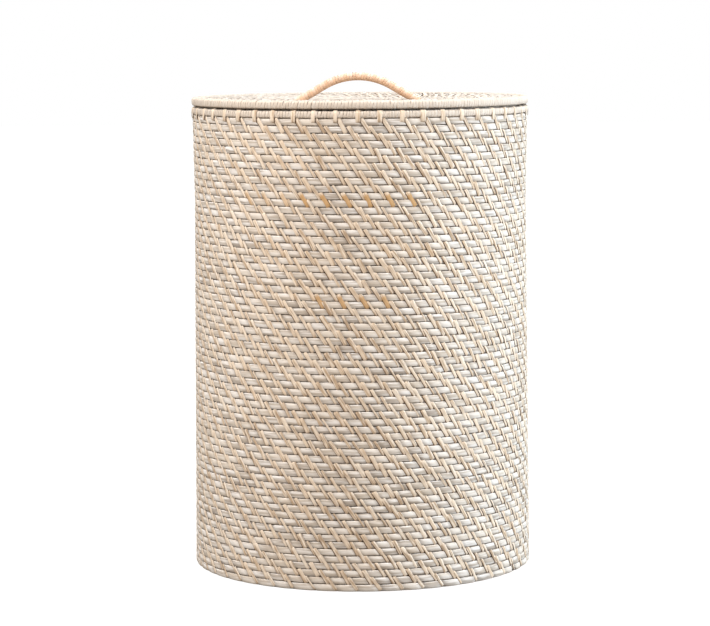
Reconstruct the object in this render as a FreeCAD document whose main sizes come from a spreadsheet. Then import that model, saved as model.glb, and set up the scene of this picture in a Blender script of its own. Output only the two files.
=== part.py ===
import FreeCAD, Part
import math
import os
import Sketcher

# A round laundry hamper of coiled cane with a lift-off lid. All lengths are in millimetres.
# The origin is the centre of the flat underside of the foot, +Z is up and the handle runs along X.
# A coil row is a round cane lashed to the row beneath it by split-cane strips, so each wall, floor
# and lid is a coil with a thin skin of lashing on both of its faces.

DRIVING_SIZES = {
    "foot_radius": 206.2,        # outside of the foot hoop
    "waist_radius": 202.2,       # outside of the wall where it is narrowest
    "shoulder_radius": 203.8,    # outside of the wall just under the rim
    "rim_radius": 204.4,         # outside of the wrapped rim hoop
    "lid_radius": 204.6,         # outside of the wrapped lid rim
    "foot_height": 9.2,
    "foot_width": 9.0,
    "foot_bevel": 2.6,
    "notch_depth": 3.5,          # open end of the foot hoop's scarf joint
    "notch_width": 6.4,
    "notch_angle": 30.5,         # where the scarf joint is, counted from +X towards -Y
    "row_pitch": 8.45,           # height of one coil row
    "wall_rows": 64,
    "waist_row": 52,             # row at which the wall is narrowest
    "wall_thickness": 8.6,
    "lashing_thickness": 1.0,
    "rim_size": 9.4,             # height and width of the wrapped rim hoop
    "hoop_bevel": 2.6,           # corners of the hoops' square sections
    "wrap_thickness": 1.1,
    "tie_count": 50,
    "tie_width": 7.2,
    "tie_thickness": 0.8,
    "tie_drop": 5.0,             # how far a rim tie reaches below the rim hoop
    "floor_rise": 1.0,           # gap between the ground and the floor's underside
    "floor_thickness": 8.4,
    "lid_gap": 0.5,              # between the rim and the resting lid
    "lid_rim_size": 10.4,
    "lid_sink": 0.5,             # from the lid rim's top down to the outer rows of the lid panel
    "lid_thickness": 8.4,
    "dish_depth": 3.6,           # how far the middle of the lid panel lies below its outer rows
    "dish_radius": 115.0,        # of the lid panel's level middle
    "brim_radius": 178.0,        # where the lid panel's level outer rows begin
    "ring_radius": 190.4,        # outside of the wrapped locating ring
    "ring_width": 7.2,
    "ring_rows": 2,
    "handle_offset": -2.5,       # handle centre along X
    "handle_radius": 5.0,        # of the wrapped handle's round section
    "handle_rise": 28.0,         # from the middle of the lid panel to the handle's centreline at its crown
    "handle_arc_radius": 81.0,
    "leg_slope": 30.5,           # degrees below the horizontal
    "leg_length": 57.2,          # from the end of the arc to the end of the cane
    "tail_length": 24.0,         # lashing mat under each end of the handle
    "tail_width": 16.0,
    "tail_thickness": 3.4,
    "nest_gap": 0.1,             # between a cane and the strip wound around it
}

doc = FreeCAD.newDocument("hamper")


def make_sheet(sizes):
    """Write one row per driving size: its name, then its plain value under that alias."""
    sheet = doc.addObject("Spreadsheet::Sheet", "dims")
    for row, (alias, value) in enumerate(sizes.items(), start=1):
        sheet.set(f"A{row}", alias)
        sheet.set(f"B{row}", str(value))
        sheet.setAlias(f"B{row}", alias)
    doc.recompute()
    return sheet


dims = make_sheet(DRIVING_SIZES)

# Heights that several pieces share, as formulas on the sheet's cells.
RIM_BASE = "(dims.foot_height + dims.wall_rows * dims.row_pitch)"
WAIST_HEIGHT = "(dims.foot_height + dims.waist_row * dims.row_pitch)"
RIM_TOP = f"({RIM_BASE} + dims.rim_size)"
LID_BASE = f"({RIM_TOP} + dims.lid_gap)"
LID_RIM_TOP = f"({LID_BASE} + dims.lid_rim_size)"
BRIM_TOP = f"({LID_RIM_TOP} - dims.lid_sink)"
BRIM_BASE = f"({BRIM_TOP} - dims.lid_thickness)"
PANEL_TOP = f"({BRIM_TOP} - dims.dish_depth)"
PANEL_BASE = f"({PANEL_TOP} - dims.lid_thickness)"
RING_BASE = f"({BRIM_BASE} - dims.ring_rows * dims.row_pitch)"
PANEL_RADIUS = "(dims.lid_radius - dims.lid_rim_size - dims.nest_gap)"
FLOOR_RADIUS = "(dims.foot_radius - dims.foot_width - dims.nest_gap)"
CORE_RADIUS = "(dims.handle_radius - dims.lashing_thickness)"
CROWN_HEIGHT = f"({PANEL_TOP} + dims.handle_rise)"


def size(formula):
    """The present value of a formula on the sheet."""
    return float(dims.evalExpression(formula))


def bind(obj, properties):
    """Bind each named property of an object to its formula."""
    for name, formula in properties.items():
        obj.setExpression(name, formula)


def origin_plane(body, role):
    """The named plane of a body's own origin."""
    return next(feature for feature in body.Origin.OriginFeatures if feature.Role == role)


def new_sketch(body, name, role):
    """An empty sketch on one of the body's origin planes."""
    sketch = body.newObject("Sketcher::SketchObject", name)
    sketch.AttachmentSupport = [(origin_plane(body, role), "")]
    sketch.MapMode = "FlatFace"
    return sketch


def fix_point(sketch, line, formulas, name):
    """Hold a line's start point at two formulas, across and up."""
    for direction, formula in zip(("DistanceX", "DistanceY"), formulas):
        value = size(formula)
        if value == 0:
            axis = -2 if direction == "DistanceX" else -1
            sketch.addConstraint(Sketcher.Constraint("PointOnObject", line, 1, axis))
            continue
        index = sketch.addConstraint(Sketcher.Constraint(direction, -1, 1, line, 1, value))
        sketch.renameConstraint(index, f"{name}_{direction}")
        sketch.setExpression(f"Constraints.{name}_{direction}", formula)


def draw_outline(sketch, outline):
    """A closed outline of straight lines through (across, up) formulas."""
    points = [FreeCAD.Vector(size(across), size(up), 0) for across, up in outline]
    for start, end in zip(points, points[1:] + points[:1]):
        sketch.addGeometry(Part.LineSegment(start, end), False)
    count = len(points)
    for line in range(count):
        sketch.addConstraint(Sketcher.Constraint("Coincident", line, 2, (line + 1) % count, 1))
    for line, formulas in enumerate(outline):
        fix_point(sketch, line, formulas, f"point{line}")


def turned_body(label, outline):
    """A body turned about Z from an outline of (radius, height) formulas."""
    body = doc.addObject("PartDesign::Body", label)
    body.Label = label
    sketch = new_sketch(body, f"{label}_section", "XZ_Plane")
    draw_outline(sketch, outline)
    turn = body.newObject("PartDesign::Revolution", f"{label}_turn")
    turn.Profile = sketch
    turn.ReferenceAxis = (sketch, ["V_Axis"])
    turn.Angle = 360
    doc.recompute()
    return body


def box_outline(inner, outer, base, top):
    """A rectangular section between two radii and two heights."""
    return [(inner, base), (outer, base), (outer, top), (inner, top)]


def bevel_edges(body, bevel):
    """Bevel every circular edge of a turned body, which makes a square section eight-sided."""
    turn = body.Tip
    circles = [f"Edge{number}" for number, edge in enumerate(turn.Shape.Edges, start=1)
               if isinstance(edge.Curve, Part.Circle)]
    chamfer = body.newObject("PartDesign::Chamfer", f"{body.Label}_bevel")
    chamfer.Base = (turn, circles)
    chamfer.setExpression("Size", bevel)
    doc.recompute()
    return body


def cut(label, base, tool):
    """The base piece with the tool's space taken out."""
    result = doc.addObject("Part::Cut", label)
    result.Label = label
    result.Base = base
    result.Tool = tool
    doc.recompute()
    return result


def compound(label, links):
    """Several separate solids that count as one piece."""
    group = doc.addObject("Part::Compound", label)
    group.Label = label
    group.Links = links
    doc.recompute()
    return group


def disc(label, radius, base, height):
    """An upright cylinder on the Z axis."""
    piece = doc.addObject("Part::Cylinder", label)
    bind(piece, {"Radius": radius, "Height": height, "Placement.Base.z": base})
    doc.recompute()
    return piece


def wrapped_hoop(hoop_label, wrap_label, inner, outer, base, top, wrap):
    """A bevelled hoop and the skin of split cane wound around it."""
    within = f"({wrap} + dims.nest_gap)"
    hoop = turned_body(hoop_label, box_outline(f"{inner} + {within}", f"{outer} - {within}",
                                               f"{base} + {within}", f"{top} - {within}"))
    bevel_edges(hoop, f"dims.hoop_bevel - {wrap} / 2")
    blank = turned_body(f"{wrap_label}_blank", box_outline(inner, outer, base, top))
    bevel_edges(blank, "dims.hoop_bevel")
    hollow = turned_body(f"{wrap_label}_hollow", box_outline(f"{inner} + {wrap}", f"{outer} - {wrap}",
                                                             f"{base} + {wrap}", f"{top} - {wrap}"))
    bevel_edges(hollow, f"dims.hoop_bevel - {wrap} / 2")
    return hoop, cut(wrap_label, blank, hollow)


def wall_outline(outset, inset):
    """The wall's tapered section, measured inwards from its outer face: foot, waist and shoulder."""
    levels = [("dims.foot_radius", "dims.foot_height"),
              ("dims.waist_radius", WAIST_HEIGHT),
              ("dims.shoulder_radius", RIM_BASE)]
    outside = [(f"{radius} - {outset}", height) for radius, height in levels]
    inside = [(f"{radius} - {inset}", height) for radius, height in reversed(levels)]
    return outside + inside


def make_foot():
    """The foot hoop, flat underneath, with the open end of its scarf joint cut into the outside."""
    hoop = turned_body("foot_hoop_ring", box_outline("dims.foot_radius - dims.foot_width",
                                                     "dims.foot_radius", "0", "dims.foot_height"))
    bevel_edges(hoop, "dims.foot_bevel")
    notch = doc.addObject("Part::Wedge", "scarf_notch")
    bind(notch, {
        "Xmin": "0 - dims.notch_depth", "Xmax": "dims.notch_depth", "X2min": "0 - dims.notch_depth",
        "X2max": "dims.notch_depth", "Ymin": "0", "Ymax": "dims.notch_width",
        "Zmin": "0 - dims.notch_depth", "Zmax": "dims.foot_height", "Z2min": "0 - dims.notch_depth",
        "Z2max": "dims.foot_height / 2",
        "Placement.Base.x": "dims.foot_radius * cos(dims.notch_angle * 1 deg)",
        "Placement.Base.y": "0 - dims.foot_radius * sin(dims.notch_angle * 1 deg)",
        "Placement.Rotation.Angle": "0 deg - dims.notch_angle * 1 deg",
    })
    doc.recompute()
    return cut("foot_hoop", hoop, notch)


def make_floor():
    """The flat coil that closes the bottom, and the lashing on both of its faces."""
    skin = "dims.lashing_thickness"
    underside = "dims.floor_rise"
    coil_base = f"({underside} + {skin})"
    coil_height = f"(dims.floor_thickness - 2 * {skin})"
    coil = disc("floor_coil", FLOOR_RADIUS, coil_base, coil_height)
    upper = disc("floor_lashing_upper", FLOOR_RADIUS, f"{coil_base} + {coil_height}", skin)
    lower = disc("floor_lashing_lower", FLOOR_RADIUS, underside, skin)
    return [coil, compound("floor_lashing", [upper, lower])]


def make_wall():
    """The wound wall, and the lashing on its outer and inner faces."""
    skin = "dims.lashing_thickness"
    near = f"({skin} + dims.nest_gap)"
    far = "dims.wall_thickness"
    coil = turned_body("wall_coil", wall_outline(near, f"({far} - {near})"))
    outer = turned_body("wall_lashing_outer", wall_outline("0", skin))
    inner = turned_body("wall_lashing_inner", wall_outline(f"({far} - {skin})", far))
    return [coil, compound("wall_lashing", [outer, inner])]


def make_ties():
    """Short broad strips, evenly spaced, that hold the rim hoop to the top row of the wall."""
    rim_face = "(dims.rim_radius + dims.nest_gap)"
    wall_face = "(dims.shoulder_radius + dims.nest_gap)"
    thick = "dims.tie_thickness"
    crown = f"({RIM_TOP} - dims.hoop_bevel)"
    foot = f"({RIM_BASE} - dims.tie_drop)"
    outline = [(wall_face, foot), (f"{wall_face} + {thick}", foot), (f"{rim_face} + {thick}", RIM_BASE),
               (f"{rim_face} + {thick}", crown), (rim_face, crown), (rim_face, RIM_BASE)]
    body = doc.addObject("PartDesign::Body", "rim_ties")
    body.Label = "rim_ties"
    body.AllowCompound = True
    sketch = new_sketch(body, "tie_section", "XZ_Plane")
    draw_outline(sketch, outline)
    turn = body.newObject("PartDesign::Revolution", "tie")
    turn.Profile = sketch
    turn.ReferenceAxis = (sketch, ["V_Axis"])
    turn.Midplane = True
    turn.setExpression("Angle", "dims.tie_width / dims.rim_radius * 1 rad")
    doc.recompute()
    pattern = body.newObject("PartDesign::PolarPattern", "tie_pattern")
    pattern.Originals = [turn]
    pattern.Axis = (sketch, ["V_Axis"])
    pattern.Angle = 360
    pattern.setExpression("Occurrences", "dims.tie_count")
    body.Tip = pattern
    doc.recompute()
    return body


def make_handle_path():
    """The handle's centreline in the XZ plane: a straight leg, an arc and a straight leg."""
    slope = math.radians(size("dims.leg_slope"))
    arc_radius = size("dims.handle_arc_radius")
    leg = size("dims.leg_length")
    centre = FreeCAD.Vector(size("dims.handle_offset"), size(CROWN_HEIGHT) - arc_radius, 0)
    shoulder = FreeCAD.Vector(arc_radius * math.sin(slope), arc_radius * math.cos(slope), 0)
    fall = FreeCAD.Vector(leg * math.cos(slope), -leg * math.sin(slope), 0)
    left_shoulder = FreeCAD.Vector(-shoulder.x, shoulder.y, 0)
    left_fall = FreeCAD.Vector(-fall.x, fall.y, 0)
    path = doc.addObject("Sketcher::SketchObject", "handle_path")
    path.Placement = FreeCAD.Placement(FreeCAD.Vector(), FreeCAD.Rotation(FreeCAD.Vector(1, 0, 0), 90))
    circle = Part.Circle(centre, FreeCAD.Vector(0, 0, 1), arc_radius)
    path.addGeometry(Part.LineSegment(centre + left_shoulder + left_fall, centre + left_shoulder), False)
    path.addGeometry(Part.ArcOfCircle(circle, math.pi / 2 - slope, math.pi / 2 + slope), False)
    path.addGeometry(Part.LineSegment(centre + shoulder, centre + shoulder + fall), False)
    path.addConstraint(Sketcher.Constraint("Tangent", 0, 2, 1, 2))
    path.addConstraint(Sketcher.Constraint("Tangent", 1, 1, 2, 1))
    path.addConstraint(Sketcher.Constraint("Equal", 0, 2))
    driven = [
        ("arc", Sketcher.Constraint("Radius", 1, arc_radius), "dims.handle_arc_radius"),
        ("leg", Sketcher.Constraint("Distance", 2, leg), "dims.leg_length"),
        ("rise", Sketcher.Constraint("DistanceY", -1, 1, 1, 3, centre.y),
         f"{CROWN_HEIGHT} - dims.handle_arc_radius"),
        ("shift", Sketcher.Constraint("DistanceX", -1, 1, 1, 3, centre.x), "dims.handle_offset"),
        ("slope", Sketcher.Constraint("DistanceY", 2, 2, 2, 1, -fall.y),
         "dims.leg_length * sin(dims.leg_slope * 1 deg)"),
        ("slope_left", Sketcher.Constraint("DistanceY", 0, 1, 0, 2, -fall.y),
         "dims.leg_length * sin(dims.leg_slope * 1 deg)"),
    ]
    for name, constraint, formula in driven:
        index = path.addConstraint(constraint)
        path.renameConstraint(index, name)
        path.setExpression(f"Constraints.{name}", formula)
    doc.recompute()
    return path


def swept_rod(label, path, radius):
    """A round rod along the handle's centreline."""
    section = doc.addObject("Part::Circle", f"{label}_section")
    start = path.Shape.Vertexes[0].Point
    run = path.Shape.Edges[0].tangentAt(path.Shape.Edges[0].FirstParameter)
    section.Placement = FreeCAD.Placement(start, FreeCAD.Rotation(FreeCAD.Vector(0, 0, 1), run))
    section.setExpression("Radius", radius)
    rod = doc.addObject("Part::Sweep", label)
    rod.Label = label
    rod.Sections = [section]
    rod.Spine = (path, [f"Edge{number}" for number in range(1, len(path.Shape.Edges) + 1)])
    rod.Solid = True
    rod.Frenet = False
    doc.recompute()
    return rod


def make_handle(path):
    """The arched cane and the strip wound around the part of it that stands above the lid."""
    core = swept_rod("handle_core", path, CORE_RADIUS)
    blank = swept_rod("handle_wrap_blank", path, "dims.handle_radius")
    hollow = swept_rod("handle_wrap_hollow", path, f"{CORE_RADIUS} + dims.nest_gap")
    sleeve = cut("handle_sleeve", blank, hollow)
    lid_space = disc("handle_wrap_trim", "dims.lid_radius", f"{PANEL_TOP} - 2 * dims.lid_thickness",
                     "2 * dims.lid_thickness")
    return [core, cut("handle_wrap", sleeve, lid_space)], hollow


def dished_body(label, above, thickness):
    """One layer of the lid panel, which starts at a height above its underside: middle, slope and brim."""
    levels = [("0", PANEL_BASE), ("dims.dish_radius", PANEL_BASE),
              ("dims.brim_radius", BRIM_BASE), (PANEL_RADIUS, BRIM_BASE)]
    under = [(radius, f"{height} + {above}") for radius, height in levels]
    over = [(radius, f"{height} + {above} + {thickness}") for radius, height in reversed(levels)]
    return turned_body(label, under + over)


def make_lid_panel(handle_space):
    """The lid's dished coil and its lashing, with the two slanted holes for the handle's ends."""
    skin = "dims.lashing_thickness"
    coil_height = f"(dims.lid_thickness - 2 * {skin})"
    coil = dished_body("lid_coil_blank", skin, coil_height)
    upper = dished_body("lid_upper_blank", f"{skin} + {coil_height}", skin)
    lower = dished_body("lid_lower_blank", "0", skin)
    faces = [cut("lid_lashing_upper", upper, handle_space), cut("lid_lashing_lower", lower, handle_space)]
    return [cut("lid_coil", coil, handle_space), compound("lid_lashing", faces)]


def make_tail(label, side, handle_space):
    """The mat of strips that ties one end of the handle against the lid's underside."""
    mat = doc.addObject("Part::Box", f"{label}_mat")
    leg_drop = f"({CROWN_HEIGHT} - dims.handle_arc_radius * (1 - cos(dims.leg_slope * 1 deg)) - {PANEL_BASE})"
    reach = (f"(dims.handle_arc_radius * sin(dims.leg_slope * 1 deg)"
             f" + {leg_drop} / tan(dims.leg_slope * 1 deg))")
    bind(mat, {
        "Length": "dims.tail_length",
        "Width": "dims.tail_width",
        "Height": "dims.tail_thickness",
        "Placement.Base.x": f"dims.handle_offset + {side} * {reach} - dims.tail_length / 2",
        "Placement.Base.y": "0 - dims.tail_width / 2",
        "Placement.Base.z": f"{PANEL_BASE} - dims.tail_thickness",
    })
    doc.recompute()
    return cut(label, mat, handle_space)


def check_pieces(pieces):
    """Stop if any object failed to rebuild, or any piece has no sound solid."""
    for obj in doc.Objects:
        if "Invalid" in obj.State or "Error" in obj.State:
            raise RuntimeError(f"{obj.Name} did not rebuild: {obj.State}")
    for piece in pieces:
        shape = piece.Shape
        if shape.isNull() or not shape.isValid() or not shape.Solids or shape.Volume <= 0:
            raise RuntimeError(f"{piece.Label} is not a sound solid")


def write_pieces(pieces):
    """Write one STEP file per piece, named by its label."""
    os.makedirs("parts", exist_ok=True)
    for piece in pieces:
        piece.Shape.exportStep(f"parts/{piece.Label}.step")
        print(f"{piece.Label}: {len(piece.Shape.Solids)} solids, {piece.Shape.Volume / 1000:.1f} cm3")


def build():
    wrap = "dims.wrap_thickness"
    rim = wrapped_hoop("rim_hoop", "rim_wrap", "dims.rim_radius - dims.rim_size", "dims.rim_radius",
                       RIM_BASE, RIM_TOP, wrap)
    lid_rim = wrapped_hoop("lid_rim_hoop", "lid_rim_wrap", "dims.lid_radius - dims.lid_rim_size",
                           "dims.lid_radius", LID_BASE, LID_RIM_TOP, wrap)
    ring = wrapped_hoop("locating_ring", "locating_ring_wrap", "dims.ring_radius - dims.ring_width",
                        "dims.ring_radius", RING_BASE, BRIM_BASE, "dims.lashing_thickness")
    handle, handle_space = make_handle(make_handle_path())
    pieces = [make_foot(), *make_floor(), *make_wall(), *rim, make_ties()]
    pieces += [*make_lid_panel(handle_space), *lid_rim, *ring, *handle]
    pieces += [make_tail("handle_lashing_left", -1, handle_space),
               make_tail("handle_lashing_right", 1, handle_space)]
    doc.recompute()
    check_pieces(pieces)
    write_pieces(pieces)


build()
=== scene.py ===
import math
from dataclasses import dataclass

import bpy
import numpy as np
from mathutils import Matrix, Vector


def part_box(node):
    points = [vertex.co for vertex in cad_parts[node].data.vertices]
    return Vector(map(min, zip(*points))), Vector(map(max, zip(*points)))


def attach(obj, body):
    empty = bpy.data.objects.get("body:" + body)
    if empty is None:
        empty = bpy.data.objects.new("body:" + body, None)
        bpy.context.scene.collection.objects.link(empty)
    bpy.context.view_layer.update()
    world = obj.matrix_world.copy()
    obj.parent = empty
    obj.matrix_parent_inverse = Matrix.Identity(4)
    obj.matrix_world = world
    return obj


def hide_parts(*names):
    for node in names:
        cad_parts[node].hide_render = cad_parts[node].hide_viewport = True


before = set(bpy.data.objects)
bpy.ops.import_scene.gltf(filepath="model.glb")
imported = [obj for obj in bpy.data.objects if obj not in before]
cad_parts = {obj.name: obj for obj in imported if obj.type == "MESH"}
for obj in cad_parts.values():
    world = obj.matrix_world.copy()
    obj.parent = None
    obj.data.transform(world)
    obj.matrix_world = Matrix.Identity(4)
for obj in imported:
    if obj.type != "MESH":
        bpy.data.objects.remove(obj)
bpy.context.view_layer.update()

# A lidded laundry hamper of coiled, whitewashed rattan. Its wall, floor and lid are rows of cane laid
# side by side and sewn with flat strips: each stitch crosses two rows and dives into the gaps beside them.
# Lengths are metres and angles radians, unless a note says otherwise. An angle of 0 faces the front (-Y)
# and grows towards +X.

TURN = 2 * math.pi
MM = 0.001
UP = np.array([0.0, 0.0, 1.0])

# The weave
WALL_ROWS = 64
WALL_STITCHES = 50
WALL_THICKNESS = 8.6 * MM
PANEL_ROWS = 22              # of the lid and of the floor
FIRST_STITCH = 0.045         # the angle of the lowest tier's first stitch
TIER_SHIFT = 0.418           # a tier starts this share of a spacing further round than the tier above
STITCH_LEAN = 10.6 * MM      # how far a stitch leans sideways over its two rows
STITCH_WIDTH = 5.0 * MM
STRIP_THICKNESS = 1.0 * MM
CELL_BULGE = 0.5 * MM        # the cane swells this much between the stitches
STITCH_PINCH = 0.9 * MM      # and is pressed in this much under them
PINCH_REACH = 2.4 * MM
ROW_ROUNDNESS = 2 / 5.0      # exponent of the rows' rounded section
STITCH_TILT = 0.25 * MM      # a stitch's upper end lies this much above its middle, on top of its neighbour
BRIDGE_DIP = 0.09            # how far a stitch sinks between its two rows, as a share of their depth
TUCK_ANGLE = math.radians(82)
TUCK_SHARE = 0.25            # of a stitch's length, spent on coming up out of a gap
EDGE_CLEARANCE = 1.2 * MM    # of the first tier's stitches from the sheet's edge
UNDERSIDE_LEAN = 1.4         # a panel's stitches lean this much more on its underside

# The differences of handwork: standard deviations, as lengths or as shares, and a strip's least and most
# share of the usual width
START_WOBBLE = 0.6 * MM
LEAN_WOBBLE = 0.08
WIDTH_WOBBLE = 0.2
WIDTH_LIMITS = (0.5, 1.35)
TIER_WIDTH_WOBBLE = 0.09
TINT_WOBBLE = 0.3
SHIFT_WOBBLE = 0.035

# How the wall's rows wave. Ripples: size, waves per turn, and slant. Belts of rows that sit high or low:
# millimetres, middle and reach. Tilt: millimetres up at the right. Heights are shares of the wall's.
RIPPLE_HEIGHT = 0.35
RIPPLES = ((1.0, 2, 5), (0.6, 5, -9), (0.35, 11, 17))
BELTS = ((1.3, 0.585, 0.083), (-1.2, 0.25, 0.11))
TILT_HEIGHTS = (0, 0.075, 0.17, 0.44, 0.63)
TILTS = (0, 2.4, 2.8, 0.7, 0)

# Runs of stitches in ochre strips: rows below the rim, first and last angle in degrees, and how ochre
OCHRE_RUNS = ((11, -41, -21, 0.4), (11, -21, 20, 0.85), (18, 2, 24, 0.3), (25, -16, 12, 0.75))
OCHRE_WIDTH = 1.2 * STITCH_WIDTH

# The open end of the foot row's scarf joint
NOTCH_DEPTH = 3.5 * MM
NOTCH_HALF_WIDTH = 5.0 * MM

# The strips' section: pairs of shares of the half width and the half thickness. Each corner has a shade:
# above 0 it is darkened as painted shade, and below 0 it is lightened as a painted highlight.
STRIP_SECTION = np.array([(-1, -0.3), (-0.66, 0.72), (0, 1), (0.66, 0.72), (1, -0.3), (0, -0.9)])
EDGE_SHADE = np.array([-0.3, 0, 0, 0, 1.7, 0.3])
CREASED_SHADE = np.array([2.0, -0.35, -0.45, -0.35, 2.0, 0.3])    # on the panels: a painted highlight on the crown and painted shade on both edges
# Where a row's columns stand between two neighbouring crossings, as shares of the spacing
COLUMN_SHARES = np.array([0, 0.17, 0.225, 0.3, 0.5, 0.7, 0.775, 0.83])
CROSSING_SHARE = 0.36        # of a stitch's length, where it crosses the first of its rows
# How far apart neighbouring strips and rows lie in the grain, so that no two look the same
STRIP_OFFSET = 0.37
ROW_OFFSET = 0.031

# The rows' painted shade and painted highlight, on the same scale as the strips' shades
GAP_SHADE_RANGE = (0.7, 1.6)      # painted shade in the gaps between the rows
PRESSED_SHADE = 1.5           # more painted shade beside the stitches
SHOULDER = (0.8, 0.9)        # the depths of a row's shoulder, which gets a painted highlight
SHOULDER_HIGHLIGHT = 0.2
# painted shade in the foot row's notch
NOTCH_SHADE = 4

# The wound hoops
RIM_STRIPS = 340
LID_RIM_STRIPS = 330
RING_STRIPS = 190
HOOP_STRIP_THICKNESS = 0.5 * MM
HOOP_STRIP_SLANT = 0.5 * MM
HOOP_STRIP_SHARES = (0.75, 1.25)    # the least and most of the usual width
HOOP_SLANT_WOBBLE = 0.4
HOOP_STRIP_OVERLAP = 1.12    # a strip is this much wider than its place
HOOP_SINK = 0.16 * MM        # a strip lies up to this much deeper than its neighbour
HOOP_STEPS = 20
HOOP_SHADE = 0.9 * EDGE_SHADE
FLATTENED = 0.45 * MM        # rim and lid rim each keep this far from the joint, which the ties fill
JOINT_SHADE = 0.35                 # painted shade on their facing sides

# The rim's ties. The foot of a tie: heights above its lower end, and how far it stands out from the rim.
TIE_FOOT = ((0.0, -1.6 * MM), (1 * MM, -0.5 * MM), (3 * MM, 0.0))
TIE_SHIFT = -3.0 * MM        # from where the top tier's stitches start
TIE_WIDTH = 6.6 * MM
TIE_THICKNESS = 0.7 * MM
TIE_TOP_THICKNESS = 0.4 * MM
TIE_ROUNDNESS = 0.7          # exponent of its crown's rounded section
TIE_CROWN_STEPS = 5
TIE_FAN = 4 * MM             # its faces turn about a line this far below the rim's middle
TIE_SIDE = 4 * MM            # it is thick up to this height on the rim's sides

# The handle: an arch between two straight legs, along its centre line
HANDLE_ARC = 81.0 * MM
HANDLE_SLOPE = math.radians(30.5)
HANDLE_LEG = 38 * MM
HANDLE_PITCH = 3.5 * MM
HANDLE_STRIP_WIDTH = HANDLE_PITCH * 1.1
HANDLE_STRIP_THICKNESS = 0.45 * MM
HANDLE_STEPS = 18            # to a turn of its strip
LASHING_STRIPS = 5           # over each end of the handle's core
LASHING_STEPS = 13
LASHING_THICKNESS = 0.9 * MM


# ---------------------------------------------------------------- sizes read from the frame

def node_points(node):
    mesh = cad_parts[node].data
    flat = np.empty(len(mesh.vertices) * 3, np.float32)
    mesh.vertices.foreach_get("co", flat)
    return flat.reshape(-1, 3).astype(float)


def axis_distance(points):
    return np.hypot(points[:, 0], points[:, 1])


def node_radii(node):
    """The inner and outer radius of a round node."""
    reach = axis_distance(node_points(node))
    return reach.min(), reach.max()


def outer_profile(node):
    """The heights of a turned node's edges, from the bottom up, and its outer radius at each."""
    points = node_points(node)
    reach = axis_distance(points)
    heights = np.unique(points[:, 2].round(4))
    radii = [reach[np.abs(points[:, 2] - height) < 0.1 * MM].max() for height in heights]
    return heights, np.array(radii)


def panel_profile(node):
    """The radii of a turned panel's bends, and the height halfway through it at each. The middle, where the
    handle's holes are, is left out because it is level."""
    points = node_points(node)
    reach = axis_distance(points).round(4)
    radii = np.unique(reach[reach > 0.5 * reach.max()])
    heights = [points[reach == radius, 2] for radius in radii]
    return radii, np.array([(group.min() + group.max()) / 2 for group in heights])


WALL_HEIGHTS, WALL_RADII = outer_profile("wall_lashing")
WALL_BASE, WALL_TOP = WALL_HEIGHTS[0], WALL_HEIGHTS[-1]
ROW_PITCH = (WALL_TOP - WALL_BASE) / WALL_ROWS


# ---------------------------------------------------------------- places and curves

def unit(vectors):
    return vectors / np.maximum(np.linalg.norm(vectors, axis=-1, keepdims=True), 1e-12)


def half_turned(angle):
    """The same angle, brought between minus and plus half a turn."""
    return (angle + math.pi) % TURN - math.pi


def rounded(wave, exponent):
    """A sine or cosine with its slopes made steeper, so that the two together draw a rounded square."""
    return np.sign(wave) * np.abs(wave) ** exponent


def round_place(radius, angle, height):
    """Points at a distance from the upright middle axis, an angle round it and a height."""
    return np.stack(np.broadcast_arrays(radius * np.sin(angle), -radius * np.cos(angle), height), -1)


# ---------------------------------------------------------------- meshes

@dataclass
class Shape:
    """Loose mesh data: points, faces as lists of equal-sided polygons, and two vectors for the materials.

    grain runs slowly along the fibres in x and y and quickly across them in z. tone holds a random tint,
    its painted shade (a painted highlight where below 0), and how much of an accent colour it takes.
    """
    points: np.ndarray
    faces: list
    grain: np.ndarray
    tone: np.ndarray


def signed_volume(points, faces):
    total = 0.0
    for group in faces:
        first = points[group[:, 0]]
        for corner in range(1, group.shape[1] - 1):
            pair = np.cross(points[group[:, corner]], points[group[:, corner + 1]])
            total += np.einsum("ij,ij->", first, pair)
    return total


def tube_shape(points, closed, grain, tone):
    """Joins (path, step, corner) points into tubes. Open tubes get caps, and all faces look outwards."""
    paths, steps, corners = points.shape[:3]
    spans = steps if closed else steps - 1
    path, step, corner = np.meshgrid(range(paths), range(spans), range(corners), indexing="ij")

    def index(along, around):
        return (path * steps + along % steps) * corners + around % corners

    below = [index(step, corner), index(step, corner + 1)]
    above = [index(step + 1, corner + 1), index(step + 1, corner)]
    faces = [np.stack(below + above, -1).reshape(-1, 4)]
    if not closed:
        first = np.arange(paths)[:, None] * steps * corners + np.arange(corners)
        faces += [first[:, ::-1], first + (steps - 1) * corners]
    flat = points.reshape(-1, 3)
    if signed_volume(flat, faces) < 0:
        faces = [group[:, ::-1] for group in faces]
    grain, tone = (np.broadcast_to(vectors, points.shape).reshape(-1, 3) for vectors in (grain, tone))
    return Shape(flat, faces, grain, tone)


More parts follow.
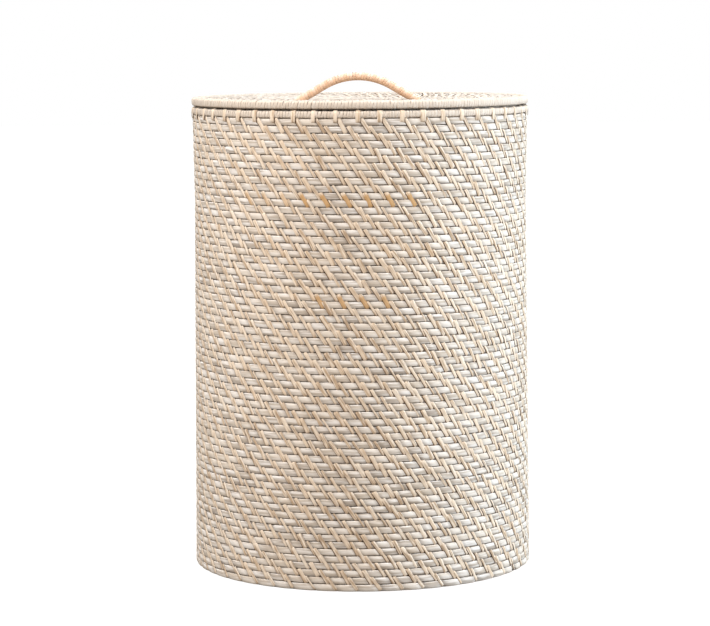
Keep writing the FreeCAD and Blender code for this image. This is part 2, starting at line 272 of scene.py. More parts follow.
def strip_shape(centres, outward, width, thickness, closed, tint, accent=0.0, shade=EDGE_SHADE):
    """Sweeps the strip section along many (path, step) centre lines that lie flat against a surface.
    shade is each corner's painted shade, and its painted highlight where below 0."""
    ahead = np.roll(centres, -1, 1) - np.roll(centres, 1, 1)
    if not closed:
        ahead[:, 0] = centres[:, 1] - centres[:, 0]
        ahead[:, -1] = centres[:, -1] - centres[:, -2]
    sideways = unit(np.cross(ahead, outward))
    outward = unit(np.cross(sideways, ahead))
    width = np.broadcast_to(width, centres.shape[:2])[..., None, None]
    thickness = np.broadcast_to(thickness, centres.shape[:2])[..., None, None]
    across = STRIP_SECTION[:, 0, None] * width / 2
    out = STRIP_SECTION[:, 1, None] * thickness / 2
    points = centres[:, :, None] + sideways[:, :, None] * across + outward[:, :, None] * out

    run = np.linalg.norm(np.diff(centres, axis=1, prepend=centres[:, :1]), axis=-1).cumsum(1)
    place = np.arange(len(centres))[:, None] * STRIP_OFFSET
    grain = np.stack(np.broadcast_arrays(run[..., None], place[..., None], across[..., 0]), -1)
    tint = np.broadcast_to(np.reshape(tint, (-1, 1, 1)), points.shape[:3])
    accent = np.reshape(accent, (-1, 1, 1)) if np.ndim(accent) < 2 else np.asarray(accent)[..., None]
    accent = np.broadcast_to(accent, points.shape[:3])
    shade = np.broadcast_to(shade, points.shape[:3])
    return tube_shape(points, closed, grain, np.stack([tint, shade, accent], -1))


def build_piece(name, shapes, material, body, node):
    """Makes one object of the shapes, ties it to its body and hides the node that it
    stands for."""
    offsets = np.cumsum([0] + [len(shape.points) for shape in shapes])
    groups = [group + offset for shape, offset in zip(shapes, offsets) for group in shape.faces]
    sides = np.concatenate([np.full(len(group), group.shape[1]) for group in groups])
    loops = np.concatenate([group.ravel() for group in groups])

    mesh = bpy.data.meshes.new(name)
    mesh.vertices.add(offsets[-1])
    mesh.vertices.foreach_set("co", np.concatenate([shape.points for shape in shapes]).ravel())
    mesh.loops.add(len(loops))
    mesh.loops.foreach_set("vertex_index", loops.astype(np.int32))
    mesh.polygons.add(len(sides))
    mesh.polygons.foreach_set("loop_start", (np.cumsum(sides) - sides).astype(np.int32))
    mesh.polygons.foreach_set("use_smooth", np.ones(len(sides), bool))
    for attribute in ("grain", "tone"):
        vectors = np.concatenate([getattr(shape, attribute) for shape in shapes])
        layer = mesh.attributes.new(attribute, "FLOAT_VECTOR", "POINT")
        layer.data.foreach_set("vector", vectors.ravel())
    mesh.update(calc_edges=True)
    mesh.materials.append(material)

    piece = bpy.data.objects.new(name, mesh)
    bpy.context.scene.collection.objects.link(piece)
    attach(piece, body)
    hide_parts(node)


# ---------------------------------------------------------------- the coiled surfaces

@dataclass
class Surface:
    """A sheet of rows. point(angle, travel, lift) gives a place on it: travel crosses the rows, and lift
    rises out of the sheet's middle. gaps are the travels of the gaps between the rows."""
    point: object
    gaps: np.ndarray
    half_depth: float


@dataclass
class Stitches:
    """Stitches on one face of a surface, as arrays. Each runs from the far gap to the near one."""
    tier: np.ndarray
    far: np.ndarray
    near: np.ndarray
    start: np.ndarray
    lean: np.ndarray
    width: np.ndarray
    tint: np.ndarray
    accent: np.ndarray

    def pick(self, chosen):
        """The stitches that a mask chooses."""
        return Stitches(*(getattr(self, field)[chosen] for field in self.__dataclass_fields__))

    def angle(self, share):
        """Where each stitch stands at a share of its length."""
        return self.start + self.lean * share


@dataclass
class RowStyle:
    """How rows of cane are made: the corners of their section on the outer and the inner face, the share of
    its pitch that a row fills, how much painted shade it takes around its stitches, and how far painted
    shade climbs up its sides from the gaps."""
    corners_out: int
    corners_in: int
    fill: float
    halo_shade: float
    shade_reach: float


@dataclass
class Notch:
    """A hollow in the outer face of the foot row, deepest at its angle and at the ground."""
    angle: float
    half_width: float
    top: float

    def hollow(self, angle, travel):
        """The share of the notch's depth at each point."""
        apart = np.abs(half_turned(angle - self.angle)) / self.half_width
        return np.clip(1 - apart, 0, 1) * np.clip(1.1 * (self.top - travel) / self.top, 0, 1)

    def edges(self):
        return self.angle + self.half_width * np.array([-1, 0, 1])


WALL_ROW = RowStyle(corners_out=9, corners_in=3, fill=0.965, halo_shade=0.28, shade_reach=1.4)
PANEL_ROW = RowStyle(corners_out=7, corners_in=5, fill=0.93, halo_shade=0.6, shade_reach=4.0)


def wall_wave(angle, travel):
    """The unevenness of hand-laid rows: a ripple that fades out at the foot and the rim, a belt of rows
    that sit high over a belt that sits low, and a tilt of the lower rows up to the right."""
    height = (travel - WALL_BASE) / (WALL_TOP - WALL_BASE)
    fade = np.sin(math.pi * np.clip(height, 0, 1))
    swell = sum(size * np.sin(waves * angle + slant * height) for size, waves, slant in RIPPLES)
    belts = sum(rise * np.exp(-((height - middle) / reach) ** 2) for rise, middle, reach in BELTS)
    tilt = np.interp(height, TILT_HEIGHTS, TILTS) * np.sin(angle)
    return MM * (RIPPLE_HEIGHT * fade * swell + belts + tilt)


def wall_point(angle, travel, lift):
    radius = np.interp(travel, WALL_HEIGHTS, WALL_RADII) - WALL_THICKNESS / 2 + lift
    return round_place(radius, angle, travel + wall_wave(angle, travel))


def disc_point(radii, middles):
    """The place function of a panel, from the heights of its middle at some radii. Its travel is the
    radius."""
    def point(angle, travel, lift):
        return round_place(travel, angle, np.interp(travel, radii, middles) + lift)
    return point


def lay_stitches(rng, surface, counts, radii, direction=1, phase=0.0):
    """One ring of stitches per pair of rows, with the small differences of handwork."""
    rings = []
    for tier, (count, radius) in enumerate(zip(counts, radii)):
        spacing = TURN / count
        start = phase + spacing * np.arange(count) + rng.normal(0, START_WOBBLE, count) / radius
        lean = direction * STITCH_LEAN / radius * rng.normal(1, LEAN_WOBBLE, count)
        breadth = rng.normal(rng.normal(1, TIER_WIDTH_WOBBLE), WIDTH_WOBBLE, count)
        width = STITCH_WIDTH * np.clip(breadth, *WIDTH_LIMITS)
        tint = np.clip(rng.normal(0.5, TINT_WOBBLE, count), 0, 1)
        far = np.full(count, surface.gaps[tier + 2])
        near = np.full(count, surface.gaps[tier] + (0 if tier else EDGE_CLEARANCE))
        rings.append((np.full(count, tier), far, near, start, lean, width, tint, np.zeros(count)))
        phase -= direction * (TIER_SHIFT + rng.normal(0, SHIFT_WOBBLE)) * spacing
    return Stitches(*(np.concatenate(column) for column in zip(*rings)))


def stitch_route(tuck_steps, bridge_steps):
    """Shares of a stitch's length and of the rows' depth: up out of a gap, over two rows and down again."""
    tuck = np.linspace(TUCK_ANGLE, 0, tuck_steps)
    climb = TUCK_SHARE * (1 - np.sin(tuck) ** ROW_ROUNDNESS)
    rise = np.cos(tuck) ** ROW_ROUNDNESS
    bridge = np.linspace(TUCK_SHARE, 1 - TUCK_SHARE, bridge_steps + 2)[1:-1]
    dip = 1 - BRIDGE_DIP * np.sin(math.pi * (bridge - TUCK_SHARE) / (1 - 2 * TUCK_SHARE)) ** 2
    share = np.concatenate([climb, bridge, 1 - climb[::-1]])
    lift = np.concatenate([rise, dip, rise[::-1]])
    return share, lift


def stitch_shape(surface, stitches, side, tuck_steps=5, bridge_steps=3, shade=EDGE_SHADE):
    """The strips of the stitches on one face of a surface. Its outer face has a side of 1, its inner -1."""
    share, rise = stitch_route(tuck_steps, bridge_steps)
    angle = stitches.start[:, None] + stitches.lean[:, None] * share
    travel = stitches.far[:, None] + (stitches.near - stitches.far)[:, None] * share
    lift = surface.half_depth * rise - STITCH_PINCH + STRIP_THICKNESS / 2 + STITCH_TILT * (1 - 2 * share)
    centres = surface.point(angle, travel, side * lift)
    outward = surface.point(angle, travel, side * (lift + MM)) - centres
    width = stitches.width[:, None] * (0.75 + 0.25 * rise)
    accent = stitches.accent[:, None] * (share >= TUCK_SHARE)
    return strip_shape(centres, outward, width, STRIP_THICKNESS, False, stitches.tint, accent, shade)


def pinch_depth(stitches, row, angle, travel, radius):
    """How far the cane is pressed in, from 0 to 1, by the stitches that cross this row near each point."""
    nearest = np.full(angle.shape, 1.0)
    for tier in (row - 1, row):
        ring = stitches.pick(stitches.tier == tier)
        if not len(ring.start):
            continue
        share = (ring.far - travel[..., None]) / (ring.far - ring.near)
        apart = angle[..., None] - (ring.start + ring.lean * share)
        apart = np.abs(half_turned(apart)) * radius - ring.width / 2
        nearest = np.minimum(nearest, apart.min(-1))
    ease = np.clip(nearest / PINCH_REACH, 0, 1)
    return 1 - ease * ease * (3 - 2 * ease)


def row_columns(ring, notch):
    """The angles of a row's columns, which stand between the crossings of a ring of stitches. The columns
    nearest to a notch move to its edges."""
    count = len(ring.start)
    crossing = ring.start[0] + ring.lean[0] * CROSSING_SHARE
    columns = crossing + TURN / count * (np.arange(count)[:, None] + COLUMN_SHARES).ravel()
    if notch:
        edges = notch.edges()
        turns = np.round((columns - np.mean(edges)) / TURN) * TURN
        nearest = np.sort(np.argsort(np.abs(columns - turns - np.mean(edges)))[:len(edges)])
        columns[nearest] = turns[nearest] + edges
    return columns


def row_section(style):
    """The corners of a row's section: the angle round it, the rise across the row and the depth out of the
    sheet, as shares of its half height and half depth."""
    outer = np.linspace(-math.pi / 2, math.pi / 2, style.corners_out)
    inner = np.linspace(math.pi / 2, 3 * math.pi / 2, style.corners_in + 2)[1:-1]
    around = np.concatenate([outer, inner])
    return around, rounded(np.sin(around), ROW_ROUNDNESS), rounded(np.cos(around), ROW_ROUNDNESS)


def row_tone(rng, count, style, depth, pressed, hollow):
    """A row's tint, which changes from cell to cell, and its painted light: painted shade in the gaps, beside
    the stitches and around them, a painted highlight on its shoulder and painted shade in a notch."""
    cells = np.repeat(rng.random(count), len(COLUMN_SHARES))[:, None]
    gap_shade = np.repeat(rng.uniform(*GAP_SHADE_RANGE, count), len(COLUMN_SHARES))[:, None]
    lit_shoulder = (np.abs(depth) > SHOULDER[0]) & (np.abs(depth) < SHOULDER[1])
    beside = np.clip((1 - np.abs(depth)) * style.shade_reach, 0, 1)
    painted_shade = (gap_shade + PRESSED_SHADE * pressed) * beside + style.halo_shade * gap_shade * pressed
    painted_shade = painted_shade - SHOULDER_HIGHLIGHT * lit_shoulder + NOTCH_SHADE * hollow
    return np.stack(np.broadcast_arrays(cells, painted_shade, 0.0), -1)


def row_shape(rng, surface, row, outside, inside, style, notch=None):
    """One row of cane, swelling between the stitches of both faces."""
    low, high = surface.gaps[row], surface.gaps[row + 1]
    middle, half = (low + high) / 2, (high - low) / 2 * style.fill
    radius = np.hypot(*surface.point(0.0, middle, 0.0)[:2])
    ring = outside.pick(outside.tier == (row - 1 if row else 0))
    slope = ring.lean.mean() / (ring.far[0] - ring.near[0])
    columns = row_columns(ring, notch)
    around, rise, depth = row_section(style)
    travel = np.broadcast_to(middle + half * rise, (len(columns), len(around)))
    outer_face = depth > -0.01                         # its columns lean with the stitches
    angle = columns[:, None] - slope * half * rise * outer_face

    pressed = np.where(
        depth > 0,
        pinch_depth(outside, row, angle, travel, radius),
        pinch_depth(inside, row, angle, travel, radius),
    )
    hollow = notch.hollow(angle, travel) * (depth > 0) if notch else 0.0
    swell = surface.half_depth + CELL_BULGE * (1 - pressed) - STITCH_PINCH * pressed - NOTCH_DEPTH * hollow
    points = surface.point(angle, travel, depth * swell)
    across = around * half + row * ROW_OFFSET
    grain = np.stack(np.broadcast_arrays(radius * np.sin(angle), radius * np.cos(angle), across), -1)
    tone = row_tone(rng, len(ring.start), style, depth, pressed, hollow)
    return tube_shape(points[None], True, grain[None], tone[None])


# ---------------------------------------------------------------- hoops, ties and the handle

def hoop_wraps(rng, node, count, roundness=3.6, facing=0):
    """Strips wound side by side round a hoop, each a closed band of its own width. A hoop may face its
    neighbour with its underside (-1) or its top (1), which is flattened and darkened with painted shade."""
    low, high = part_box(node)
    low.z += FLATTENED * (facing < 0)
    high.z -= FLATTENED * (facing > 0)
    inner, outer = node_radii(node)
    share = rng.uniform(*HOOP_STRIP_SHARES, count)
    edge = np.cumsum(share) / share.sum() * TURN
    centre = (edge - share / share.sum() * math.pi)[:, None]
    middle = (inner + outer) / 2
    half_wide = (outer - inner - HOOP_STRIP_THICKNESS) / 2
    half_high = (high.z - low.z - HOOP_STRIP_THICKNESS) / 2
    around = np.linspace(0, TURN, HOOP_STEPS, endpoint=False)
    across = rounded(np.cos(around), 2 / roundness)
    rise = rounded(np.sin(around), 2 / roundness)
    swing = HOOP_STRIP_SLANT / outer * rng.normal(1, HOOP_SLANT_WOBBLE, count)[:, None] * rise

    def place(grow):
        radius = middle + across * (half_wide + grow)
        return round_place(radius, centre + swing, (low.z + high.z) / 2 + rise * (half_high + grow))

    sink = rng.uniform(-HOOP_SINK, 0.0, count)[:, None]
    flat_side = np.clip((facing * rise - 0.8) / 0.08, 0, 1)
    # painted shade on the flattened side
    dark = np.broadcast_to(JOINT_SHADE * flat_side, swing.shape)
    centres = place(sink)
    outward = place(sink + MM) - centres
    width = (share / share.sum())[:, None] * TURN * (middle + across * half_wide) * HOOP_STRIP_OVERLAP
    tint = rng.random(count)
    return strip_shape(centres, outward, width, HOOP_STRIP_THICKNESS, True, tint, dark, HOOP_SHADE)


def tie_shape(rng, angles):
    """Broad strips that bind the rim to the top row, over the outside, the top and the inside."""
    rim_low, rim_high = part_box("rim_wrap")
    inner, outer = node_radii("rim_wrap")
    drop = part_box("rim_ties")[0].z
    middle = (inner + outer) / 2
    half = (outer - inner) / 2
    lower = [(drop + above, proud) for above, proud in TIE_FOOT]
    lower = np.array(lower + [(rim_low.z, 0.0), (rim_low.z + 2 * MM, 0.1 * MM)])
    arc = np.linspace(0, math.pi / 2, TIE_CROWN_STEPS + 1)[1:]
    crown_height = rim_low.z + (rim_high.z - rim_low.z) * (0.45 + 0.55 * np.sin(arc) ** TIE_ROUNDNESS)
    crown_reach = half * np.cos(arc) ** TIE_ROUNDNESS - 0.1 * MM * np.cos(arc)
    height = np.concatenate([lower[:, 0], crown_height])
    reach = np.concatenate([half + lower[:, 1], crown_reach])
    height = np.concatenate([height, height[-2::-1]])
    reach = np.concatenate([reach, -reach[-2::-1]])

    angle = angles[:, None]
    centres = round_place(middle + reach, angle, height)
    above_middle = height - (rim_low.z + rim_high.z) / 2 + TIE_FAN
    radial = round_place(1.0, angle, 0.0)
    outward = unit(reach[:, None] * radial + above_middle[:, None] * UP)
    width = TIE_WIDTH * np.clip(rng.normal(1, 0.08, len(angles)), 0.8, 1.2)[:, None]
    on_top = (np.abs(reach) < half * 0.8) & (height > rim_low.z + TIE_SIDE)
    thickness = np.where(on_top, TIE_TOP_THICKNESS, TIE_THICKNESS)
    below_rim = np.clip((rim_low.z + 3 * MM - height) / (4 * MM), 0, 1) * (reach > 0)    # painted shade and highlight on its edges, only outside and below the rim
    tint = 0.4 + 0.6 * rng.random(len(angles))
    shade = EDGE_SHADE * below_rim[:, None]
    return strip_shape(centres, outward, width, thickness, False, tint, 0.0, shade)


def handle_route(distance):
    """Points of the handle's centre line, and the directions that point up out of its bend. Distance is
    measured from the crown, to the right if positive."""
    low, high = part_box("handle_wrap")
    half_rod = (high.y - low.y) / 2
    crown = np.array([(low.x + high.x) / 2, 0.0, high.z - half_rod])
    turn = np.clip(distance / HANDLE_ARC, -HANDLE_SLOPE, HANDLE_SLOPE)
    beyond = distance - turn * HANDLE_ARC
    level = np.zeros_like(turn)
    along = np.stack([np.cos(turn), level, -np.sin(turn)], -1)
    across = np.stack([np.sin(turn), level, np.cos(turn)], -1)
    centre = crown - HANDLE_ARC * UP
    return centre + HANDLE_ARC * across + beyond[..., None] * along, across


def handle_shape():
    """One strip wound round the handle from leg to leg."""
    half_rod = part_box("handle_wrap")[1].y
    reach = HANDLE_ARC * HANDLE_SLOPE + HANDLE_LEG
    turns = 2 * reach / HANDLE_PITCH
    distance = np.linspace(-reach, reach, int(turns * HANDLE_STEPS))
    centre, across = handle_route(distance)
    spin = (TURN * distance / HANDLE_PITCH)[:, None]
    outward = np.cos(spin) * across + np.sin(spin) * np.array([0.0, 1.0, 0.0])
    centres = centre + outward * (half_rod - HANDLE_STRIP_THICKNESS / 2)
    wobble = 1 + 0.06 * np.sin(distance * 310) + 0.04 * np.sin(distance * 730)    # two beating waves
    # lighter on the upper side: whitewash flecks, and a painted highlight on the top
    whitewash_and_highlight = np.clip(0.9 * outward[:, 2] + 0.3 * np.sin(distance * 530), 0, 1)
    return strip_shape(
        centres[None], outward[None], HANDLE_STRIP_WIDTH * wobble[None], HANDLE_STRIP_THICKNESS, False, 0.5,
        0.5 * whitewash_and_highlight[None])


def lashing_shape(rng, node):
    """Strips laid side by side over the end of the handle's core, under the lid."""
    low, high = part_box(node)
    share = np.linspace(0, 1, LASHING_STEPS)
    arch = np.sin(math.pi * share) ** 0.5
    x = low.x + (high.x - low.x) * (np.arange(LASHING_STRIPS) + 0.5) / LASHING_STRIPS
    y = low.y + (high.y - low.y) * share
    z = high.z - (high.z - low.z - 0.5 * MM) * arch
    centres = np.stack(np.broadcast_arrays(x[:, None], y, z), -1)
    outward = np.broadcast_to(-UP, centres.shape).copy()
    outward[..., 1] = (share - 0.5) * 2
    width = (high.x - low.x) / LASHING_STRIPS * 1.02
    return strip_shape(centres, outward, width, LASHING_THICKNESS, False, rng.random(LASHING_STRIPS))


# ---------------------------------------------------------------- materials

def colour(red, green, blue):
    """A colour from its 8-bit display values."""
    return tuple((value / 255) ** 2.2 for value in (red, green, blue)) + (1.0,)


OCHRE = colour(190, 148, 98)
# the colour that painted highlights blend towards
HIGHLIGHT_COLOUR = colour(230, 227, 222)


class Paint:
    """A material's node tree, with short calls for the nodes that it is made of."""

    def __init__(self, name):
        self.material = bpy.data.materials.new(name)
        self.material.use_nodes = True
        self.nodes = self.material.node_tree.nodes
        self.links = self.material.node_tree.links
        self.shader = self.nodes["Principled BSDF"]

    def give(self, socket, given):
        """Sets a socket to a value or links it to another node's output."""
        if isinstance(given, bpy.types.NodeSocket):
            self.links.new(given, socket)
        else:
            socket.default_value = given

    def attribute(self, name):
        node = self.nodes.new("ShaderNodeAttribute")
        node.attribute_name = name
        return node.outputs["Vector"]

    def noise(self, vector, scale, detail, seed=0.0):
        """Noise stretched along the fibres: scale holds the frequencies along and across them."""
        mapping = self.nodes.new("ShaderNodeMapping")
        self.give(mapping.inputs["Scale"], (scale[0], scale[0], scale[1]))
        self.give(mapping.inputs["Location"], (seed, seed, seed))
        self.give(mapping.inputs["Vector"], vector)
        texture = self.nodes.new("ShaderNodeTexNoise")
        self.give(texture.inputs["Scale"], 1.0)
        self.give(texture.inputs["Detail"], detail)
        self.give(texture.inputs["Vector"], mapping.outputs["Vector"])
        return texture.outputs["Fac"]

    def ranged(self, value, source=(0.0, 1.0), target=(0.0, 1.0)):
        """The value, with its source range brought to the target range."""
        node = self.nodes.new("ShaderNodeMapRange")
        sockets = ("From Min", "From Max", "To Min", "To Max", "Value")
        for socket, given in zip(sockets, (*source, *target, value)):
            self.give(node.inputs[socket], given)
        return node.outputs["Result"]

    def blend(self, share, first, second):
        """A mix of two colours."""
        node = self.nodes.new("ShaderNodeMix")
        node.data_type = "RGBA"
        self.give(node.inputs["Factor"], share)
        self.give(node.inputs[6], first)               # 6, 7 and output 2 are the node's colour sockets
        self.give(node.inputs[7], second)
        return node.outputs[2]

    def scaled(self, value, factor):
        """The value times a factor, kept between 0 and 1."""
        node = self.nodes.new("ShaderNodeMath")
        node.operation = "MULTIPLY"
        node.use_clamp = True
        self.give(node.inputs[0], value)
        self.give(node.inputs[1], factor)
        return node.outputs[0]


def cane_material(name, pale, streak, warm, shade_colour, accent, streak_share=0.5, shade_share=0.8,
                  fine=(45, 1500), broad=(14, 420)):
    """Rattan: a pale ground with lengthwise streaks, a tint that changes from strip to strip, painted shade
    in the crevices, painted highlights on edges and shoulders, and fine grooves along the fibres."""
    paint = Paint(name)
    grain = paint.attribute("grain")
    tone = paint.nodes.new("ShaderNodeSeparateXYZ")
    paint.give(tone.inputs["Vector"], paint.attribute("tone"))
    tint, painted_shade, accented = (tone.outputs[axis] for axis in "XYZ")

    fine_noise = paint.noise(grain, fine, 2.0)
    broad_noise = paint.noise(grain, broad, 2.0, 7.3)
    streaks = paint.scaled(paint.ranged(fine_noise, (0.45, 0.61)), streak_share)
    patches = paint.scaled(paint.ranged(broad_noise, (0.42, 0.72)), 0.55)
    ground = paint.blend(streaks, pale, streak)
    ground = paint.blend(patches, ground, warm)
    ground = paint.blend(paint.scaled(tint, 0.45), ground, warm)
    # a painted highlight where the painted shade is below 0, then the painted shade itself
    ground = paint.blend(paint.scaled(painted_shade, -1.0), ground, HIGHLIGHT_COLOUR)
    ground = paint.blend(paint.scaled(painted_shade, shade_share), ground, shade_colour)
    paint.give(paint.shader.inputs["Base Color"], paint.blend(accented, ground, accent))

    bump = paint.nodes.new("ShaderNodeBump")
    paint.give(bump.inputs["Strength"], 0.6)
    paint.give(bump.inputs["Distance"], 0.25 * MM)
    paint.give(bump.inputs["Height"], fine_noise)
    paint.give(paint.shader.inputs["Normal"], bump.outputs["Normal"])
    paint.give(paint.shader.inputs["Roughness"], paint.ranged(broad_noise, target=(0.58, 0.83)))
    paint.give(paint.shader.inputs["Specular IOR Level"], 0.18)
    return paint.material


def whitewashed_cane_material():
    return cane_material(
        "whitewashed_cane", pale=colour(217, 211, 205), streak=colour(150, 137, 124),
        warm=colour(207, 192, 174), shade_colour=colour(62, 42, 25), accent=OCHRE,
        streak_share=0.85, fine=(25, 430), broad=(16, 260))


def tan_lashing_material():
    return cane_material(
        "tan_lashing", pale=colour(224, 209, 191), streak=colour(150, 122, 94),
        warm=colour(210, 186, 159), shade_colour=colour(88, 57, 33), accent=OCHRE,
        streak_share=0.85, shade_share=1.0, fine=(40, 460), broad=(16, 300))


def rim_strip_material():
    """Its accent is painted shade in the joint between the rim and the lid."""
    return cane_material(
        "rim_strip", pale=colour(212, 201, 189), streak=colour(174, 156, 139),
        warm=colour(200, 182, 163), shade_colour=colour(86, 60, 40), accent=colour(26, 17, 10),
        shade_share=0.7)


def handle_strip_material():
    """Its accent lightens the upper side: whitewash flecks and a painted highlight."""
    return cane_material(
        "handle_strip", pale=colour(208, 172, 143), streak=colour(176, 137, 104),
        warm=colour(200, 160, 128), shade_colour=colour(128, 92, 62), accent=colour(232, 226, 217),
        shade_share=0.6)


def inner_cane_material():
    """Peeled cane on the hoops' cores, painted from their own coordinates."""
    paint = Paint("inner_cane")
    place = paint.nodes.new("ShaderNodeTexCoord")
    speckle = paint.noise(place.outputs["Object"], (90, 600), 3.0)
    ground = paint.blend(speckle, colour(176, 144, 106), colour(206, 180, 146))
    paint.give(paint.shader.inputs["Base Color"], ground)
    paint.give(paint.shader.inputs["Roughness"], 0.7)
    return paint.material


# ---------------------------------------------------------------- the pieces

def foot_notch(top):
    """The foot hoop's scarf notch, found where the hoop's underside stands clear of the ground."""
    points = node_points("foot_hoop")
    hoop_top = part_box("foot_hoop")[1].z
    inside = (points[:, 2] > 0.4 * hoop_top) & (points[:, 2] < 0.6 * hoop_top)
    angle = np.arctan2(points[:, 0], -points[:, 1])
    tally, edges = np.histogram(angle[inside], bins=72, range=(-math.pi, math.pi))
    middle = (edges[tally.argmax()] + edges[tally.argmax() + 1]) / 2
    return Notch(middle, NOTCH_HALF_WIDTH / WALL_RADII[0], top)


def wall_stitches(rng, surface):
    """The stitches on the wall's outside, and those on its inside, which lead from each one to the next."""
    counts = [WALL_STITCHES] * WALL_ROWS
    radii = [WALL_RADII.mean()] * WALL_ROWS
    outside = lay_stitches(rng, surface, counts, radii, phase=FIRST_STITCH)
    spacing = TURN / WALL_STITCHES
    inside = Stitches(
        outside.tier, outside.far, outside.near, outside.start + spacing, outside.lean - spacing,
        outside.width, outside.tint[::-1], np.zeros_like(outside.accent))
    return outside, inside


def tint_ochre_runs(outside):
    """A few neighbouring stitches in darker, broader strips."""
    middle = np.degrees(half_turned(outside.angle(0.5)))
    for rows_down, first, last, amount in OCHRE_RUNS:
        tier = WALL_ROWS - rows_down
        chosen = (outside.tier == tier) & (middle > first) & (middle < last)
        outside.accent[chosen] = amount
        outside.width[chosen] = OCHRE_WIDTH


def make_wall(cane, lashing):
    """The foot row, the wall's rows and the stitches on both faces, in bands to keep each piece small.
    Returns the angles at which the top tier's stitches start, under the rim."""
    rng = np.random.default_rng(11)
    foot_gap = 0.6 * MM
    gaps = np.concatenate([[foot_gap], WALL_BASE + ROW_PITCH * np.arange(WALL_ROWS + 1)])
    surface = Surface(wall_point, gaps, WALL_THICKNESS / 2 - CELL_BULGE)
    outside, inside = wall_stitches(rng, surface)
    tint_ochre_runs(outside)

    foot = row_shape(rng, surface, 0, outside, inside, WALL_ROW, foot_notch(gaps[1]))
    build_piece("foot_hoop_cane", [foot], cane, "basket", "foot_hoop")
    for number, band in enumerate(np.array_split(np.arange(1, WALL_ROWS + 1), 4), 1):
        rows = [row_shape(rng, surface, row, outside, inside, WALL_ROW) for row in band]
        build_piece(f"wall_cane_{number}", rows, cane, "basket", "wall_coil")
    for number, band in enumerate(np.array_split(np.arange(WALL_ROWS), 3), 1):
        shown = outside.pick(np.isin(outside.tier, band))
        strips = stitch_shape(surface, shown, 1)
        name = f"wall_lashing_outside_{number}"
        build_piece(name, [strips], lashing, "basket", "wall_lashing")
    for number, band in enumerate(np.array_split(np.arange(WALL_ROWS), 2), 1):
        shown = inside.pick(np.isin(inside.tier, band))
        strips = stitch_shape(surface, shown, -1, tuck_steps=4, bridge_steps=1)
        name = f"wall_lashing_inside_{number}"
        build_piece(name, [strips], lashing, "basket", "wall_lashing")
    return outside.start[outside.tier == WALL_ROWS - 1]


def make_panel(name, body, cane, lashing, seed):
    """A coiled panel: the lid's slightly dished top or the level floor."""
    rng = np.random.default_rng(seed)
    node = f"{name}_lashing"
    bends, middles = panel_profile(node)
    points = node_points(node)
    outermost = points[axis_distance(points) > bends[-1] - MM, 2]
    thickness = outermost.max() - outermost.min()
    gaps = np.linspace(0, bends[-1], PANEL_ROWS + 1)
    gaps[0] = 1.0 * MM
    surface = Surface(disc_point(bends, middles), gaps, thickness / 2 - CELL_BULGE)
    radii = gaps[1:-1]
    spacing = TURN * WALL_RADII.mean() / WALL_STITCHES
    counts = [max(5, round(TURN * reach / spacing)) for reach in radii]
    above = lay_stitches(rng, surface, counts, radii, direction=-1)
    below = Stitches(
        above.tier, above.far, above.near, above.start, -above.lean * UNDERSIDE_LEAN, above.width, above.tint,
        above.accent)
    rows = [row_shape(rng, surface, row, above, below, PANEL_ROW) for row in range(PANEL_ROWS)]
    build_piece(f"{name}_cane", rows, cane, body, f"{name}_coil")
    upper = stitch_shape(surface, above, 1, shade=CREASED_SHADE)
    lower = stitch_shape(surface, below, -1, tuck_steps=4, bridge_steps=1)
    build_piece(f"{name}_lashing_strips", [upper, lower], lashing, body, node)


def make_rims(rim_strip, lashing, tie_angles):
    """The wound rim with its ties, the lid's wound rim and the locating ring under it."""
    rng = np.random.default_rng(23)
    rim = hoop_wraps(rng, "rim_wrap", RIM_STRIPS, facing=1)
    build_piece("rim_wrapping", [rim], rim_strip, "basket", "rim_wrap")
    ties = tie_shape(rng, tie_angles)
    build_piece("rim_tie_strips", [ties], lashing, "basket", "rim_ties")
    lid_rim = hoop_wraps(rng, "lid_rim_wrap", LID_RIM_STRIPS, facing=-1)
    build_piece("lid_rim_wrapping", [lid_rim], rim_strip, "lid", "lid_rim_wrap")
    ring = hoop_wraps(rng, "locating_ring_wrap", RING_STRIPS, roundness=4)
    build_piece("locating_ring_wrapping", [ring], rim_strip, "lid", "locating_ring_wrap")


def make_handle(handle_strip):
    """The wound handle, and the lashings over its core's ends."""
    rng = np.random.default_rng(31)
    build_piece("handle_wrapping", [handle_shape()], handle_strip, "lid", "handle_wrap")
    for side in ("left", "right"):
        node = f"handle_lashing_{side}"
        build_piece(f"{node}_strips", [lashing_shape(rng, node)], handle_strip, "lid", node)


def paint_cores(core):
    """The CAD hoops and the handle's core show between the strips, and keep their own shapes."""
    for node in ("rim_hoop", "lid_rim_hoop", "locating_ring", "handle_core"):
        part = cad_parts[node]
        part.data.materials.clear()
        part.data.materials.append(core)


# ---------------------------------------------------------------- the studio

def make_floor():
    """A floor that looks white and throws a little warm light back up."""
    reach = 14.0
    steps = np.linspace(-reach, reach, 15)
    size = len(steps)
    points = [(x, y, 0.0) for y in steps for x in steps]
    corners = [row * size + column for row in range(size - 1) for column in range(size - 1)]
    faces = [(corner, corner + 1, corner + size + 1, corner + size) for corner in corners]
    mesh = bpy.data.meshes.new("studio_floor")
    mesh.from_pydata(points, [], faces)
    paint = Paint("pale_floor")
    rays = paint.nodes.new("ShaderNodeLightPath")
    paint.give(paint.shader.inputs["Base Color"], (0.15, 0.12, 0.09, 1.0))
    paint.give(paint.shader.inputs["Roughness"], 0.9)
    paint.give(paint.shader.inputs["Specular IOR Level"], 0.1)
    paint.give(paint.shader.inputs["Emission Color"], (1.0, 1.0, 1.0, 1.0))
    paint.give(paint.shader.inputs["Emission Strength"], paint.scaled(rays.outputs["Is Camera Ray"], 0.97))
    mesh.materials.append(paint.material)
    floor = bpy.data.objects.new("studio_floor", mesh)
    bpy.context.scene.collection.objects.link(floor)


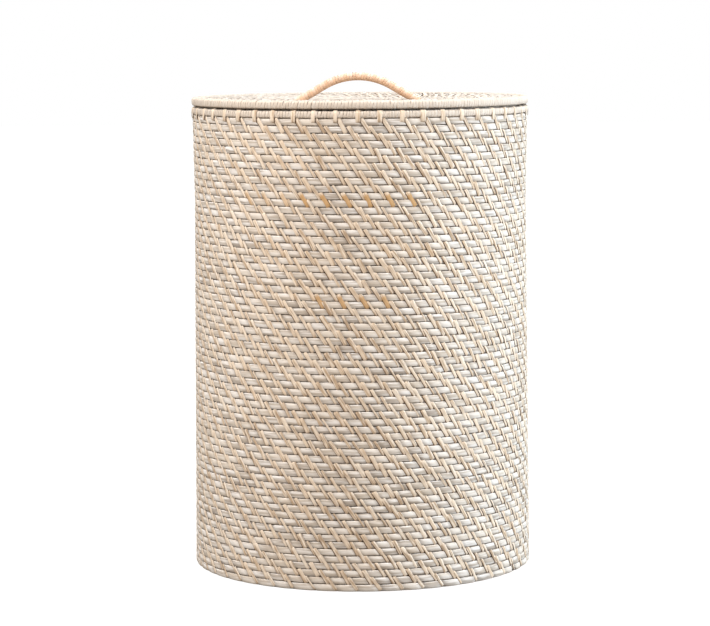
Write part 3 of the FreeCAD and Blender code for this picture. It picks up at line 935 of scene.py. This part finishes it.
def make_world():
    """A white backdrop that lights the object more dimly than it looks."""
    world = bpy.data.worlds.new("white_studio")
    bpy.context.scene.world = world
    world.use_nodes = True
    nodes, links = world.node_tree.nodes, world.node_tree.links
    shown = nodes["Background"]
    shown.inputs["Color"].default_value = (1.0, 1.0, 1.0, 1.0)
    shown.inputs["Strength"].default_value = 1.0
    lit = nodes.new("ShaderNodeBackground")
    lit.inputs["Color"].default_value = (1.0, 0.985, 0.96, 1.0)
    lit.inputs["Strength"].default_value = 0.42
    rays = nodes.new("ShaderNodeLightPath")
    mix = nodes.new("ShaderNodeMixShader")
    links.new(rays.outputs["Is Camera Ray"], mix.inputs["Fac"])
    links.new(lit.outputs["Background"], mix.inputs[1])
    links.new(shown.outputs["Background"], mix.inputs[2])
    links.new(mix.outputs["Shader"], nodes["World Output"].inputs["Surface"])


def make_softbox(name, place, aim_height, size, power, tint):
    """A rectangular lamp that looks at the hamper's axis."""
    data = bpy.data.lights.new(name, "AREA")
    data.shape = "RECTANGLE"
    data.size, data.size_y = size
    data.energy = power
    data.color = tint
    light = bpy.data.objects.new(name, data)
    aim = Vector((0.0, 0.0, aim_height)) - Vector(place)
    light.rotation_euler = aim.to_track_quat("-Z", "Y").to_euler()
    light.location = place
    bpy.context.scene.collection.objects.link(light)


def make_lights():
    make_world()
    make_softbox("left_softbox", (-1.9, -1.2, 2.1), 0.5, (1.2, 1.2), 40, (0.98, 0.975, 0.975))
    make_softbox("left_rim_light", (-2.4, 0.4, 1.6), 0.35, (1.0, 1.4), 18, (0.84, 0.93, 1.0))
    make_softbox("right_softbox", (2.55, -0.22, 1.05), 0.4, (1.4, 1.6), 116, (0.76, 0.885, 1.0))
    make_softbox("front_softbox", (-0.4, -1.9, 2.1), 0.5, (1.2, 0.8), 43, (1.0, 0.945, 0.90))
    overhead = bpy.data.lights.new("overhead_glow", "SUN")
    overhead.energy = 1.6
    overhead.color = (0.94, 0.97, 1.0)
    overhead.angle = math.radians(45)
    glow = bpy.data.objects.new("overhead_glow", overhead)
    bpy.context.scene.collection.objects.link(glow)


def make_camera():
    """A long lens in front of the hamper, looking slightly down."""
    place = Matrix.Translation((0.0, -3.1729, 0.6569))
    heading = Matrix.Rotation(0.0024, 4, "Z")
    pitch = Matrix.Rotation(math.radians(90 - 6.339), 4, "X")
    roll = Matrix.Rotation(-0.0071, 4, "Z")
    data = bpy.data.cameras.new("camera")
    data.lens = 131.70
    data.sensor_width = 36.0
    camera = bpy.data.objects.new("camera", data)
    camera.matrix_world = place @ heading @ pitch @ roll
    bpy.context.scene.collection.objects.link(camera)
    bpy.context.scene.camera = camera
    bpy.context.scene.view_settings.view_transform = "Standard"


def main():
    cane = whitewashed_cane_material()
    lashing = tan_lashing_material()
    tie_angles = make_wall(cane, lashing) + TIE_SHIFT / WALL_RADII[-1]
    make_panel("lid", "lid", cane, lashing, seed=41)
    make_panel("floor", "basket", cane, lashing, seed=43)
    make_rims(rim_strip_material(), lashing, tie_angles)
    make_handle(handle_strip_material())
    paint_cores(inner_cane_material())
    make_floor()
    make_lights()
    make_camera()


main()
